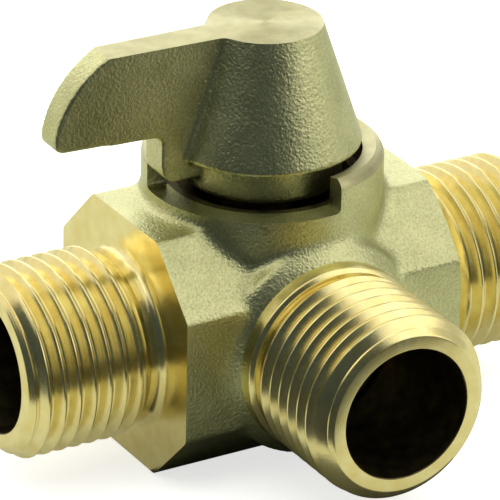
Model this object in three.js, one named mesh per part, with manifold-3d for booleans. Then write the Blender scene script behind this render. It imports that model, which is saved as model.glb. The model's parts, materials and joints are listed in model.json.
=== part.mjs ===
// Three-way brass ball valve with three male half-inch pipe threads.
//
// A cast lever handle turns an L-bored ball a quarter turn inside a one-piece
// forged body. The ball floats between four PTFE seats; a slotted, threaded
// retainer screwed down each port holds its seat.
//
// Frame: millimetres, +Z up the stem, X along the run, -Y out of the branch port.
// The origin lies on the underside flat of the body, straight below the stem.

import * as THREE from 'three';
import { mergeVertices } from 'three/addons/utils/BufferGeometryUtils.js';
import Module from 'manifold-3d';

// ---------------------------------------------------------------- dimensions

// Body: an octagonal bar along X with its stem collar on top.
const acrossFlats = 27.4;
const flatWidth = 14.0;
const runFlangeLeft = 16.85;
const runFlangeRight = 17.1;
const turnedRimRadius = 14.3;
const turnedRimSetback = 1.15;
const axisHeight = acrossFlats / 2;

// Ports: G 1/2 male threads, drawn as plain rings at the real pitch.
const threadRadius = 10.4775;
const threadPitch = 1.8143;
const threadDepth = 1.162;
const threadCrests = 7;
const reliefRadius = 9.2;
const reliefMouthRadius = 10.8;
const reliefWidth = 1.5;
const portChamfer = 1.3;
const portBoreRadius = 7.35;
const runPortEnd = 33.1;
const branchPortEnd = 30.35;
const branchBossRadius = 12.2;
const branchBossEnd = 14.5;
const branchBandRadius = 10.6;
const branchBandEnd = 16.1;

// Stem collar: a cup whose front left quarter is cut away for the stop tab.
const collarRadius = 13.04;
const collarTop = 19.0;
const collarShoulder = 18.65;
const collarEdge = 18.0;
const collarPocketRadius = 10.7;
const collarPocketFloor = 13.8;
const hubWellRadius = 9.6;
const stopLedge = 15.4;
const stopFaceAtRest = 2.4;
const stopFaceTurned = 2.1;

// Handle: a cone with one flat wing, a stop tab under it and a hub below.
const handleTop = 32.95;
const handleTopRadius = 6.21;
const handleConeBase = 19.5;
const handleConeRadius = 10.75;
const hubRadius = 8.6;
const hubBottom = 15.5;
const wingHubWidth = 4.2;
const wingTipWidth = 3.4;
const wingTip = 25.9;
const tabOuter = 13.2;
const tabBottom = 17.3;
const handleSkew = -1.4;

// Stem, its seals and the screw that keeps the handle on it.
const stemRadius = 3.5;
const stemBore = 3.6;
const stemTop = 28.0;
const stemFlat = 2.9;
const stemFlangeRadius = 4.6;
const stemFlangeBottom = 7.4;
const stemFlangeTop = 8.5;
const washerThickness = 0.6;
const stemCounterbore = 4.9;
const stemCounterboreTop = 9.5;
const stemBossRadius = 6.0;
const stemBossTop = 15.2;
const ringGroovesAt = [11.2, 13.6];
const ringGrooveDepth = 1.15;
const ringSection = 0.5;
const tangWidth = 3.0;
const screwRadius = 2.0;
const screwHeight = 24.0;
const screwInner = 3.2;
const screwLength = 5.2;
const screwAzimuth = 60;
const hexKeyRadius = 1.1;

// Ball, seats, backing rings and retainers.
const ballRadius = 7.0;
const ballBore = 3.75;
const ballSlotWidth = 3.4;
const ballSlotFloor = 4.9;
const seatGap = 0.15;
const seatBore = 4.0;
const seatOuter = 7.05;
const seatBack = 8.6;
const backingRingAt = 9.45;
const backingRingRadius = 6.05;
const backingRingSection = 0.7;
const retainerFront = 10.4;
const retainerBack = 14.4;
const retainerBore = 4.4;
const retainerSlotWidth = 1.6;
const retainerSlotDepth = 1.2;

// How finely round shapes are divided.
const roundSegments = 48;
const smallSegments = 32;
const ringSegments = 24;

// ------------------------------------------------------------- solid helpers

const wasm = await Module();
wasm.setup();

const unitX = new THREE.Vector3(1, 0, 0);
const unitY = new THREE.Vector3(0, 1, 0);
const unitZ = new THREE.Vector3(0, 0, 1);

// Turns a closed three.js geometry into a solid that can be joined and cut.
function solid(geometry, matrix = new THREE.Matrix4()) {
  const bare = geometry.clone().applyMatrix4(matrix);
  bare.deleteAttribute('normal');
  bare.deleteAttribute('uv');
  const merged = mergeVertices(bare, 1e-5);
  const corners = merged.index.array;
  const triVerts = [];
  for (let i = 0; i < corners.length; i += 3) {
    const [a, b, c] = corners.slice(i, i + 3);
    if (a !== b && b !== c && c !== a) triVerts.push(a, b, c);
  }
  return new wasm.Manifold(new wasm.Mesh({
    numProp: 3,
    vertProperties: new Float32Array(merged.attributes.position.array),
    triVerts: new Uint32Array(triVerts),
  }));
}

// Turns a finished solid back into a named mesh.
function namedMesh(name, body, material) {
  const result = body.getMesh();
  const geometry = new THREE.BufferGeometry();
  geometry.setAttribute('position', new THREE.BufferAttribute(result.vertProperties, 3));
  geometry.setIndex(new THREE.BufferAttribute(result.triVerts, 1));
  const flatShaded = geometry.toNonIndexed();
  flatShaded.computeVertexNormals();
  const mesh = new THREE.Mesh(flatShaded, material);
  mesh.name = name;
  return mesh;
}

// Revolves [radius, height] points about a direction through the ball centre.
function revolve(points, direction = unitZ, segments = roundSegments) {
  const profile = points.map(([radius, height]) => new THREE.Vector2(radius, height));
  const turn = new THREE.Quaternion().setFromUnitVectors(unitY, direction);
  const matrix = new THREE.Matrix4().makeRotationFromQuaternion(turn);
  return solid(new THREE.LatheGeometry(profile, segments), matrix);
}

// A plain round bar between two heights along a direction.
function bar(radius, low, high, direction = unitZ, segments = roundSegments) {
  return revolve([[0, low], [radius, low], [radius, high], [0, high]], direction, segments);
}

// A block given by its size and its centre.
function block(sizeX, sizeY, sizeZ, x, y, z) {
  return solid(new THREE.BoxGeometry(sizeX, sizeY, sizeZ), new THREE.Matrix4().makeTranslation(x, y, z));
}

function polygon(points) {
  return new THREE.Shape(points.map(([x, y]) => new THREE.Vector2(x, y)));
}

const radians = THREE.MathUtils.degToRad;

// The frame that stands a flat outline in the XZ plane, thickened along Y.
function standingFrame(thickness) {
  const frame = new THREE.Matrix4().makeBasis(unitX, unitZ, unitY.clone().negate());
  return frame.setPosition(0, thickness / 2, 0);
}

function metal(name, color, roughness) {
  return new THREE.MeshStandardMaterial({ name, color, roughness, metalness: 1 });
}

// --------------------------------------------------------------------- body

// The octagonal bar; its right rim is turned round on the lathe.
function octagonBar() {
  const half = acrossFlats / 2;
  const side = flatWidth / 2;
  const corners = [
    [side, -half], [half, -side], [half, side], [side, half],
    [-side, half], [-half, side], [-half, -side], [-side, -half],
  ];
  const length = runFlangeLeft + runFlangeRight;
  const prism = new THREE.ExtrudeGeometry(polygon(corners), { depth: length, bevelEnabled: false });
  const alongX = new THREE.Matrix4().makeBasis(unitY, unitZ, unitX).setPosition(-runFlangeLeft, 0, 0);
  const cornerRadius = Math.hypot(half, side);
  const turned = revolve([
    [0, -runFlangeLeft - 1],
    [cornerRadius + 1, -runFlangeLeft - 1],
    [cornerRadius + 1, runFlangeRight - turnedRimSetback * 2],
    [turnedRimRadius, runFlangeRight],
    [0, runFlangeRight],
  ], unitX);
  return solid(prism, alongX).intersect(turned);
}

// One male port: relief groove, thread rings and a chamfered end.
function threadedPort(direction, rootAt, endAt, mouthRadius) {
  const root = threadRadius - threadDepth;
  const points = [[0, 0], [mouthRadius, 0], [mouthRadius, rootAt], [reliefRadius, rootAt + reliefWidth]];
  const firstCrest = endAt - portChamfer - threadCrests * threadPitch;
  for (let i = 0; i <= threadCrests; i += 1) {
    const crestAt = firstCrest + i * threadPitch;
    points.push([root, crestAt - threadPitch / 2], [threadRadius, crestAt]);
  }
  points.push([threadRadius - portChamfer, endAt], [0, endAt]);
  return revolve(points, direction, smallSegments);
}

// The round boss and the smooth band behind the branch thread.
function branchBoss(direction) {
  return revolve([
    [0, 0], [branchBossRadius, 0], [branchBossRadius, branchBossEnd - 1.4],
    [branchBandRadius, branchBossEnd], [branchBandRadius, branchBandEnd], [0, branchBandEnd],
  ], direction);
}

// The collar wall: its top slopes outwards and its outer edge is chamfered.
function stemCollar() {
  const chamfer = collarShoulder - collarEdge;
  return revolve([
    [0, 0], [collarRadius, 0], [collarRadius, collarEdge],
    [collarRadius - chamfer, collarShoulder], [collarPocketRadius, collarTop], [0, collarTop],
  ]);
}

// The pocket in the collar and the well for the hub under it, leaving a boss
// around the stem.
function collarPocket() {
  return revolve([
    [stemBossRadius, collarPocketFloor], [hubWellRadius, collarPocketFloor],
    [hubWellRadius, stopLedge], [collarPocketRadius, stopLedge],
    [collarPocketRadius, collarTop + 1], [0, collarTop + 1],
    [0, stemBossTop], [stemBossRadius, stemBossTop], [stemBossRadius, collarPocketFloor],
  ]);
}

// The front left quarter of the collar wall, cut away so that the stop tab can
// swing: it rests near the face at +Y and ends its turn near the face at +X.
function stopSlot() {
  const reach = collarRadius + 3;
  const sizeX = reach + stopFaceTurned;
  const sizeY = reach + stopFaceAtRest;
  const height = collarTop + 1 - stopLedge;
  return block(sizeX, sizeY, height, stopFaceTurned - sizeX / 2, stopFaceAtRest - sizeY / 2,
    stopLedge + height / 2);
}

function stemPassage() {
  return revolve([
    [0, 0], [stemCounterbore, 0], [stemCounterbore, stemCounterboreTop],
    [stemBore, stemCounterboreTop], [stemBore, stemBossTop + 1], [0, stemBossTop + 1],
  ]);
}

function valveBody() {
  const left = unitX.clone().negate();
  const front = unitY.clone().negate();
  const rearPocket = seatBack + 0.3;
  let body = octagonBar()
    .add(stemCollar())
    .add(branchBoss(front))
    .add(threadedPort(left, runFlangeLeft, runPortEnd, reliefMouthRadius))
    .add(threadedPort(unitX, runFlangeRight, runPortEnd, reliefMouthRadius))
    .add(threadedPort(front, branchBandEnd, branchPortEnd, branchBandRadius));
  const cuts = [
    bar(portBoreRadius, -runPortEnd - 1, runPortEnd + 1, unitX),
    bar(portBoreRadius, -rearPocket, branchPortEnd + 1, front),
    collarPocket(),
    stopSlot(),
    stemPassage(),
  ];
  for (const cut of cuts) body = body.subtract(cut);
  return body;
}

// ------------------------------------------------------------------- handle

// The wing's outline seen from the side: flat on top, round at the tip.
function wingOutline() {
  const outline = new THREE.Shape();
  outline.moveTo(-4, handleTop);
  outline.lineTo(-19.9, handleTop);
  outline.bezierCurveTo(-22.6, 31.4, -25.4, 28.0, -wingTip + 0.1, 24.6);
  outline.quadraticCurveTo(-wingTip + 0.2, 23.5, -24.8, 23.3);
  outline.lineTo(-tabOuter - 0.4, 22.8);
  outline.lineTo(-tabOuter, 22.2);
  outline.lineTo(-tabOuter, tabBottom + 1.8);
  outline.quadraticCurveTo(-tabOuter, tabBottom, -tabOuter + 1.8, tabBottom);
  outline.lineTo(-4, tabBottom);
  return outline;
}

function wing() {
  const thick = wingHubWidth + 2;
  const side = new THREE.ExtrudeGeometry(wingOutline(), { depth: thick, bevelEnabled: false, curveSegments: 10 });
  const plan = polygon([
    [-wingTip - 1, -wingTipWidth / 2], [0, -wingHubWidth / 2],
    [0, wingHubWidth / 2], [-wingTip - 1, wingTipWidth / 2],
  ]);
  const taper = new THREE.ExtrudeGeometry(plan, { depth: handleTop, bevelEnabled: false });
  return solid(side, standingFrame(thick)).intersect(solid(taper));
}

function screwDirection() {
  return new THREE.Vector3(Math.cos(radians(screwAzimuth)), Math.sin(radians(screwAzimuth)), 0);
}

// A radial round bar at the height of the handle screw.
function screwBar(radius, low, high, segments = 20) {
  return bar(radius, low, high, screwDirection(), segments).translate([0, 0, screwHeight]);
}

function handleCasting() {
  const cone = revolve([
    [0, hubBottom], [hubRadius, hubBottom], [hubRadius, handleConeBase],
    [handleConeRadius, handleConeBase], [handleTopRadius, handleTop], [0, handleTop],
  ]);
  const stemHole = bar(stemRadius + 0.1, hubBottom - 1, stemTop + 0.4, unitZ, smallSegments);
  return cone.add(wing())
    .subtract(stemHole)
    .subtract(screwBar(screwRadius + 0.1, stemRadius - 1.5, handleConeRadius + 1));
}

// A hexagon-socket screw bearing on the flat of the stem.
function handleScrew() {
  const outer = screwInner + screwLength;
  return screwBar(screwRadius, screwInner, outer).subtract(screwBar(hexKeyRadius, outer - 2, outer + 1, 6));
}

// --------------------------------------------------------------------- stem

// A shaft with two ring grooves, a flange below and a tang for the ball.
function stem() {
  const points = [[0, stemFlangeBottom], [stemFlangeRadius, stemFlangeBottom], [stemFlangeRadius, stemFlangeTop],
    [stemRadius, stemFlangeTop]];
  for (const at of ringGroovesAt) {
    const halfWidth = ringSection + 0.1;
    const floor = stemRadius - ringGrooveDepth;
    points.push([stemRadius, at - halfWidth], [floor, at - halfWidth]);
    points.push([floor, at + halfWidth], [stemRadius, at + halfWidth]);
  }
  points.push([stemRadius, stemTop], [0, stemTop]);
  const shaft = revolve(points, unitZ, smallSegments);
  const tang = bar(stemFlangeRadius - 0.3, ballSlotFloor + 0.3, stemFlangeBottom + 0.2, unitZ, smallSegments)
    .intersect(block(20, tangWidth, 20, 0, 0, stemFlangeBottom));
  const flatCut = block(4, 10, stemTop - hubBottom, stemFlat + 2, 0, (stemTop + hubBottom) / 2 + 0.1)
    .rotate([0, 0, screwAzimuth + handleSkew]);
  return shaft.add(tang).subtract(flatCut);
}

function thrustWasher() {
  const low = stemFlangeTop + 0.15;
  const high = low + washerThickness;
  return revolve([
    [stemRadius + 0.15, low], [stemFlangeRadius, low], [stemFlangeRadius, high],
    [stemRadius + 0.15, high], [stemRadius + 0.15, low],
  ], unitZ, smallSegments);
}

// A rubber ring of round section lying at a height along a direction.
function rubberRing(ringRadius, section, at, direction) {
  const sides = 6;
  const points = [];
  for (let i = 0; i <= sides; i += 1) {
    const angle = (2 * Math.PI * (i % sides)) / sides;
    points.push([ringRadius + section * Math.cos(angle), at + section * Math.sin(angle)]);
  }
  return revolve(points, direction, ringSegments);
}

// --------------------------------------------------------------- ball, seats

// The ball is bored from the left and from the branch side, meeting in an L.
function ball() {
  const sphere = solid(new THREE.SphereGeometry(ballRadius, smallSegments, 16));
  const reach = ballRadius + 1;
  const elbow = solid(new THREE.SphereGeometry(ballBore, ringSegments, 12));
  const slot = block(2 * reach, ballSlotWidth, reach, 0, 0, ballSlotFloor + reach / 2);
  return sphere
    .subtract(bar(ballBore, 0, reach, unitX.clone().negate(), ringSegments))
    .subtract(bar(ballBore, 0, reach, unitY.clone().negate(), ringSegments))
    .subtract(elbow)
    .subtract(slot);
}

// A seat ring: hollow face to the ball, mitred edge to its neighbours.
function seat(direction) {
  const clear = ballRadius + seatGap;
  const lipRadius = 4.95;
  const mitre = 0.2;
  const points = [[seatBore, seatBack], [seatBore, Math.sqrt(clear ** 2 - seatBore ** 2)]];
  const arcSteps = 3;
  for (let i = 1; i <= arcSteps; i += 1) {
    const radius = seatBore + ((lipRadius - seatBore) * i) / arcSteps;
    points.push([radius, Math.sqrt(clear ** 2 - radius ** 2)]);
  }
  points.push([seatOuter, seatOuter + mitre], [seatOuter, seatBack], [seatBore, seatBack]);
  return revolve(points, direction, smallSegments);
}

// A threaded gland ring with two slots for its driver.
function retainer(direction, acrossSlot) {
  const ring = revolve([
    [retainerBore, retainerFront], [seatOuter, retainerFront], [seatOuter, retainerBack],
    [retainerBore, retainerBack], [retainerBore, retainerFront],
  ], direction, smallSegments);
  const size = new THREE.Vector3(retainerSlotWidth, retainerSlotWidth, retainerSlotWidth);
  size.addScaledVector(acrossSlot, 20);
  const slotDepthAt = direction.clone().multiplyScalar(retainerBack);
  size.addScaledVector(new THREE.Vector3(...direction.toArray().map(Math.abs)), 2 * retainerSlotDepth - retainerSlotWidth);
  return ring.subtract(block(size.x, size.y, size.z, slotDepthAt.x, slotDepthAt.y, slotDepthAt.z));
}

// ----------------------------------------------------------------- assembly

const forgedBrass = metal('forged_brass', 0xb3ab6b, 0.45);
const turnedBrass = metal('turned_brass', 0xd8bf5c, 0.3);
const chromedBrass = metal('chromed_brass', 0xd9dcde, 0.12);
const blackSteel = metal('black_steel', 0x3a3a3c, 0.5);
const ptfe = new THREE.MeshStandardMaterial({ name: 'ptfe', color: 0xf1f0ea, roughness: 0.6 });
const nitrile = new THREE.MeshStandardMaterial({ name: 'nitrile_rubber', color: 0x18181a, roughness: 0.8 });

const openPorts = {
  left: { direction: unitX.clone().negate(), acrossSlot: unitZ },
  right: { direction: unitX, acrossSlot: unitZ },
  front: { direction: unitY.clone().negate(), acrossSlot: unitX },
};

// Everything is built about the ball centre and lifted onto the underside flat.
const valve = new THREE.Group();
valve.position.z = axisHeight;

valve.add(namedMesh('valve_body', valveBody(), forgedBrass));
valve.add(namedMesh('ball', ball(), chromedBrass));

for (const [side, { direction, acrossSlot }] of Object.entries(openPorts)) {
  const ring = rubberRing(backingRingRadius, backingRingSection, backingRingAt, direction);
  valve.add(namedMesh(`seat_${side}`, seat(direction), ptfe));
  valve.add(namedMesh(`seat_backing_ring_${side}`, ring, nitrile));
  valve.add(namedMesh(`seat_retainer_${side}`, retainer(direction, acrossSlot), turnedBrass));
}
valve.add(namedMesh('seat_rear', seat(unitY), ptfe));

// The stem, the handle and what turns with them.
const turningPieces = new THREE.Group();
turningPieces.add(namedMesh('stem', stem(), turnedBrass));
turningPieces.add(namedMesh('stem_thrust_washer', thrustWasher(), ptfe));
ringGroovesAt.forEach((at, i) => {
  const level = i === 0 ? 'lower' : 'upper';
  const ringRadius = stemRadius - ringGrooveDepth + ringSection + 0.05;
  turningPieces.add(namedMesh(`stem_o_ring_${level}`, rubberRing(ringRadius, ringSection, at, unitZ), nitrile));
});

// The handle and its screw sit slightly askew on the stem.
const lever = new THREE.Group();
lever.rotation.z = radians(handleSkew);
lever.add(namedMesh('handle', handleCasting(), forgedBrass));
lever.add(namedMesh('handle_set_screw', handleScrew(), blackSteel));
turningPieces.add(lever);
valve.add(turningPieces);

const assembly = new THREE.Group();
assembly.add(valve);

export default assembly;
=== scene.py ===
"""The finished look of a three-way brass ball valve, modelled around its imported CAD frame.

Sizes are taken about the centre of the ball, where the port axes and the stem
axis meet; `lift` then raises each piece to its place above the floor.
"""

import json
from math import atan2, cos, degrees, pi, radians, sin

import bmesh
import bpy
from bpy.props import FloatProperty, IntProperty, PointerProperty, StringProperty
from mathutils import Matrix, Vector
from mathutils.geometry import interpolate_bezier


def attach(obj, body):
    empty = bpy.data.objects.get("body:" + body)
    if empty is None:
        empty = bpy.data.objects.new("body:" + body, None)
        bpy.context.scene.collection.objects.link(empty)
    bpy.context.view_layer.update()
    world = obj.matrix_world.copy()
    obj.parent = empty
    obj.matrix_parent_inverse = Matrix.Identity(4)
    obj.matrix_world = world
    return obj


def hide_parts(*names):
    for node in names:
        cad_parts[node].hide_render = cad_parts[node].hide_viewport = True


bl_info = {
    "name": "Three Way Valve",
    "version": (1, 0, 0),
    "blender": (4, 5, 0),
    "location": "View3D > Sidebar > Valve",
    "description": "Models a brass three-way ball valve with a cone and wing handle",
    "category": "Add Mesh",
}

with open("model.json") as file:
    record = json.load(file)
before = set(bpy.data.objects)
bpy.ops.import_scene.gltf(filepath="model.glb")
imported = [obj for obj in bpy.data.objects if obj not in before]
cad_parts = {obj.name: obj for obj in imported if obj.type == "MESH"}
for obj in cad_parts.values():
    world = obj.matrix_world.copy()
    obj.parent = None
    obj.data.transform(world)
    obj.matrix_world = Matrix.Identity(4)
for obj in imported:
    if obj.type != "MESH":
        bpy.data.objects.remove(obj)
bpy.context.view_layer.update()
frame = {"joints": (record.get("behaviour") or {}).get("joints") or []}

MM = 0.001
FULL_TURN = 2 * pi
SHARP_EDGE = radians(28)  # edges bent more than this are shaded as corners
AXIS_HEIGHT = frame["joints"][0]["pos_m"][2]

ALONG_X = Vector((1, 0, 0))
ALONG_Y = Vector((0, 1, 0))
ALONG_Z = Vector((0, 0, 1))
PORTS = {"left": -ALONG_X, "right": ALONG_X, "front": -ALONG_Y}
SLOT_ACROSS = {"left": ALONG_Z, "right": ALONG_Z, "front": ALONG_X}

# The wing's rounded front and lower corner: control points from the ball centre, in mm.
WING_NOSE = ((-17.4, 33.95), (-21.8, 32.5), (-25.2, 28.6), (-25.75, 24.4))
WING_HEEL = ((-25.75, 24.4), (-25.75, 23.6), (-25.4, 23.3), (-24.8, 23.2))

# Softboxes: azimuth and elevation in degrees, width and height in metres, radiance, tint.
SOFTBOXES = (
    ("back_right", 17, 21, 0.90, 0.70, 1.2, "#FFFFFC"),
    ("front_right", 138, 35, 0.58, 0.78, 0.88, "#FFFCF4"),
    ("back_left", -40, 32, 0.66, 0.86, 0.95, "#FFF8EA"),
    ("left", -95, 46, 0.44, 0.36, 0.8, "#FFFCF4"),
    ("overhead", -50, 84, 0.84, 0.70, 0.92, "#FFFCF4"),
)

# The finishes of a brass piece, and the number that marks each one's faces.
BRASS = ("forged_brass", "turned_brass_x", "turned_brass_y", "faced_brass_z", "drilled_brass_painted_shade")
FORGED, TURNED_X, TURNED_Y, FACED_Z, DRILLED = range(5)


# --- settings

def length(label, millimetres, about):
    """A length that a user may change, given in millimetres."""
    return FloatProperty(name=label, description=about, default=millimetres * MM, unit="LENGTH",
                         precision=5)


def turn(label, angle, about):
    """An angle that a user may change, given in degrees."""
    return FloatProperty(name=label, description=about, default=radians(angle), subtype="ANGLE")


def colour(label, value, about):
    """An sRGB colour that a user may change, as a hex value."""
    return StringProperty(name=label, description=about, default=value)


class BodySizes(bpy.types.PropertyGroup):
    across_flats: length("Across flats", 27.4, "Distance between opposite flats of the octagon")
    flat_width: length("Flat width", 14.0, "Width of the upright and level flats")
    left_face: length("Left flange", 16.85, "Ball centre to the turned left flange")
    right_face: length("Right flange", 17.1, "Ball centre to the turned right flange")
    rim_radius: length("Right rim", 14.3, "Radius at which the right rim starts to fall back")
    boss_radius: length("Branch boss", 12.2, "Radius of the forged boss behind the branch thread")
    boss_end: length("Boss length", 14.4, "Ball centre to the front of the boss")
    band_radius: length("Branch band", 10.6, "Radius of the smooth band behind the branch thread")
    band_end: length("Band end", 16.1, "Ball centre to the end of the band")
    collar_radius: length("Collar", 13.04, "Outer radius of the stem collar")
    collar_top: length("Collar top", 19.0, "Ball centre to the collar's upper edge")
    pocket_radius: length("Pocket", 10.7, "Radius of the pocket in the collar")
    well_radius: length("Hub well", 9.6, "Radius of the well that the handle's hub turns in")
    pocket_floor: length("Well floor", 13.8, "Ball centre to the floor of the well")
    ledge: length("Stop ledge", 15.4, "Ball centre to the ledge that the stop tab swings over")
    stop_at_rest: length("Stop at rest", 2.4, "Place across the valve of the stop face at rest")
    stop_turned: length("Stop when turned", 2.1, "Place along the valve of the other stop face")
    bore_radius: length("Bore", 7.35, "Radius of the bore in each port")
    rear_pocket: length("Rear pocket", 8.9, "How far the branch bore runs past the ball centre")


class ThreadSizes(bpy.types.PropertyGroup):
    radius: length("Thread radius", 10.4775, "Half the major diameter of a G 1/2 thread")
    pitch: length("Pitch", 1.8143, "Distance between crests")
    depth: length("Depth", 1.162, "Height of a crest above the root")
    rounding: length("Rounding", 0.249, "Radius at the crests and roots")
    run_end: length("Run port end", 33.1, "Ball centre to the end of the left and right ports")
    branch_end: length("Branch port end", 30.35, "Ball centre to the end of the branch port")
    neck_flare: length("Neck flare", 1.1, "Radius where the neck flares out to the flange")
    neck_radius: length("Neck", 9.25, "Radius of the plain neck behind the thread")
    neck_length: length("Neck length", 1.5, "Length of the plain neck")
    chamfer: length("End chamfer", 1.6, "Chamfer on the end of a port")
    steps: IntProperty(name="Steps", description="Divisions round a thread", default=112, min=24)


class HandleSizes(bpy.types.PropertyGroup):
    top: length("Top", 32.95, "Ball centre to the turned top")
    top_radius: length("Top radius", 6.21, "Radius of the cone at its top")
    cone_base: length("Cone base", 19.5, "Ball centre to the underside of the cone")
    cone_radius: length("Cone radius", 10.75, "Radius of the cone at its base")
    hub_radius: length("Hub", 8.6, "Radius of the hub below the cone")
    hub_bottom: length("Hub bottom", 15.5, "Ball centre to the underside of the hub")
    wing_tip: length("Wing tip", 25.9, "Stem axis to the tip of the wing")
    wing_root: length("Wing root", 4.2, "Thickness of the wing at the stem axis")
    wing_end: length("Wing end", 3.4, "Thickness of the wing at its tip")
    tab_outer: length("Stop tab", 13.2, "Stem axis to the outer edge of the stop tab")
    tab_bottom: length("Tab bottom", 17.3, "Ball centre to the underside of the stop tab")
    skew: turn("Skew", -1.4, "How far the handle rests from square to the run")


class InnerSizes(bpy.types.PropertyGroup):
    ball_radius: length("Ball", 7.0, "Radius of the ball")
    ball_bore: length("Ball bore", 3.75, "Radius of the ball's L bore")
    slot_width: length("Ball slot", 3.4, "Width of the slot that takes the stem's tang")
    slot_floor: length("Slot floor", 4.9, "Ball centre to the floor of the slot")
    seat_gap: length("Seat gap", 0.15, "Gap between the ball and a seat")
    seat_bore: length("Seat bore", 4.0, "Radius of the hole in a seat")
    seat_outer: length("Seat", 7.05, "Outer radius of a seat")
    seat_back: length("Seat back", 8.6, "Ball centre to the back of a seat")
    ring_at: length("Backing ring place", 9.45, "Ball centre to the middle of a backing ring")
    ring_radius: length("Backing ring", 6.05, "Radius of a backing ring")
    ring_section: length("Ring section", 0.7, "Radius of a backing ring's section")
    retainer_front: length("Retainer front", 10.4, "Ball centre to the near face of a retainer")
    retainer_back: length("Retainer back", 14.4, "Ball centre to the far face of a retainer")
    retainer_bore: length("Retainer bore", 4.4, "Radius of the hole in a retainer")
    driver_slot: length("Driver slot", 1.6, "Width of the slot for the driver")
    driver_depth: length("Driver depth", 1.2, "Depth of the slot for the driver")


class StemSizes(bpy.types.PropertyGroup):
    radius: length("Stem", 3.5, "Radius of the stem")
    passage: length("Stem bore", 3.6, "Radius of the hole for the stem")
    top: length("Stem top", 28.0, "Ball centre to the top of the stem")
    flat: length("Screw flat", 2.9, "Stem axis to the flat under the screw")
    flange_radius: length("Flange", 4.6, "Radius of the stem's flange")
    flange_bottom: length("Flange bottom", 7.4, "Ball centre to the underside of the flange")
    flange_top: length("Flange top", 8.5, "Ball centre to the top of the flange")
    washer: length("Washer", 0.6, "Thickness of the thrust washer")
    counterbore: length("Counterbore", 4.9, "Radius of the counterbore over the flange")
    counterbore_top: length("Counterbore top", 9.5, "Ball centre to the counterbore's shoulder")
    boss_radius: length("Stem boss", 6.0, "Radius of the boss round the stem")
    boss_top: length("Boss top", 15.2, "Ball centre to the top of the boss")
    groove_depth: length("Groove", 1.15, "Depth of an O-ring groove")
    lower_groove: length("Lower groove", 11.2, "Ball centre to the lower O-ring")
    upper_groove: length("Upper groove", 13.6, "Ball centre to the upper O-ring")
    ring_section: length("O-ring", 0.5, "Half the height of an O-ring")
    tang: length("Tang", 3.0, "Thickness of the tang in the ball's slot")
    screw_radius: length("Screw", 2.0, "Radius of the set screw")
    screw_height: length("Screw height", 24.0, "Ball centre to the screw's axis")
    screw_inner: length("Screw start", 3.2, "Stem axis to the point of the screw")
    screw_length: length("Screw length", 5.2, "Length of the set screw")
    screw_azimuth: turn("Screw direction", 60, "Direction of the screw, round from the right port")
    hex_radius: length("Hex socket", 1.1, "Radius of the socket for the key")


class Finishes(bpy.types.PropertyGroup):
    # The forged colours carry painted shade: the dark one falls in the pits of the grain and the light one
    # on its high points.
    forged_light: colour("Forged, light", "#D6D5A1", "Brass on the high points of the blasted grain")
    forged_dark: colour("Forged, dark", "#B2B284", "Duller brass in the pits of the grain")
    turned_light: colour("Turned, light", "#F2E6AA", "Bright freshly cut brass")
    turned_dark: colour("Turned, dark", "#E7D590", "Cut brass between tool marks")
    # The faced colours are darker than the turned ones as painted shade, which dims the softbox's
    # reflection on the faced tops.
    faced_light: colour("Faced, light", "#C2BD92", "Brass on the faced top of the handle and the collar")
    faced_dark: colour("Faced, dark", "#AEA87E", "Brass between the rings of a faced surface")
    # The drilled colours are painted shade: they darken the bores and the pocket of the collar.
    drilled_shade_light: colour("Drilled, light", "#7A6F4C", "Dull brass in the bores")
    drilled_shade_dark: colour("Drilled, dark", "#4A4334", "Brown film in the bores")
    grain: length("Grain", 0.24, "Width of the blasted grain")
    feed: length("Feed", 0.24, "Distance between tool marks")


class StageSettings(bpy.types.PropertyGroup):
    floor_width: length("Floor width", 8000, "Width of the floor")
    floor_colour: colour("Floor", "#E2E2E1", "Colour of the floor")
    reflected_colour: colour("Floor in reflections", "#B4B6AA",
                             "Colour of the floor that the metal reflects")
    card_colour: colour("Front card", "#3A3E3E", "Colour of the dark card in front")
    # The shade colour is painted shade: a darker sheet that only reflections see, under the front port.
    shade_colour: colour("Shade", "#62655C", "Colour of the shaded floor close in front of the valve")
    front_edge: length("Front card edge", 45, "Stem axis to the edge of the front card")
    front_heading: turn("Front card heading", 31,
                        "Direction that the card faces, round from behind the valve")
    room_colour: colour("Room", "#3F4A50", "Colour of the dim room round the stage")
    wall_colour: colour("Wall", "#CBCCC6", "Colour of the pale wall on the right")
    wall_azimuth: turn("Wall azimuth", 80, "Direction of the pale wall, round from behind the valve")
    light_distance: length("Light distance", 700, "How far each softbox stands from the valve")
    focal_length: FloatProperty(name="Focal length", description="Lens of the camera, in mm",
                                default=343.1)


# --- outlines

def arc(centre, radius, start, end, steps=5):
    """Points round part of a circle, from one angle to another."""
    points = []
    for i in range(steps + 1):
        angle = radians(start + (end - start) * i / steps)
        points.append((centre[0] + radius * cos(angle), centre[1] + radius * sin(angle)))
    return points


def eased(points, radius, keep=(), steps=3):
    """An outline whose corners are rounded, but for its ends and the ones to keep."""
    rounded = [Vector(points[0])]
    for i in range(1, len(points) - 1):
        before, corner, after = (Vector(points[j]) for j in (i - 1, i, i + 1))
        back, on = before - corner, after - corner
        reach = min(radius, back.length * 0.45, on.length * 0.45)
        if i in keep or reach < 1e-7:
            rounded.append(corner)
            continue
        first, last = corner + back.normalized() * reach, corner + on.normalized() * reach
        for k in range(steps + 1):
            t = k / steps
            rounded.append(first * (1 - t) ** 2 + corner * (2 * t * (1 - t)) + last * t ** 2)
    return rounded + [Vector(points[-1])]


# --- mesh helpers

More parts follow.
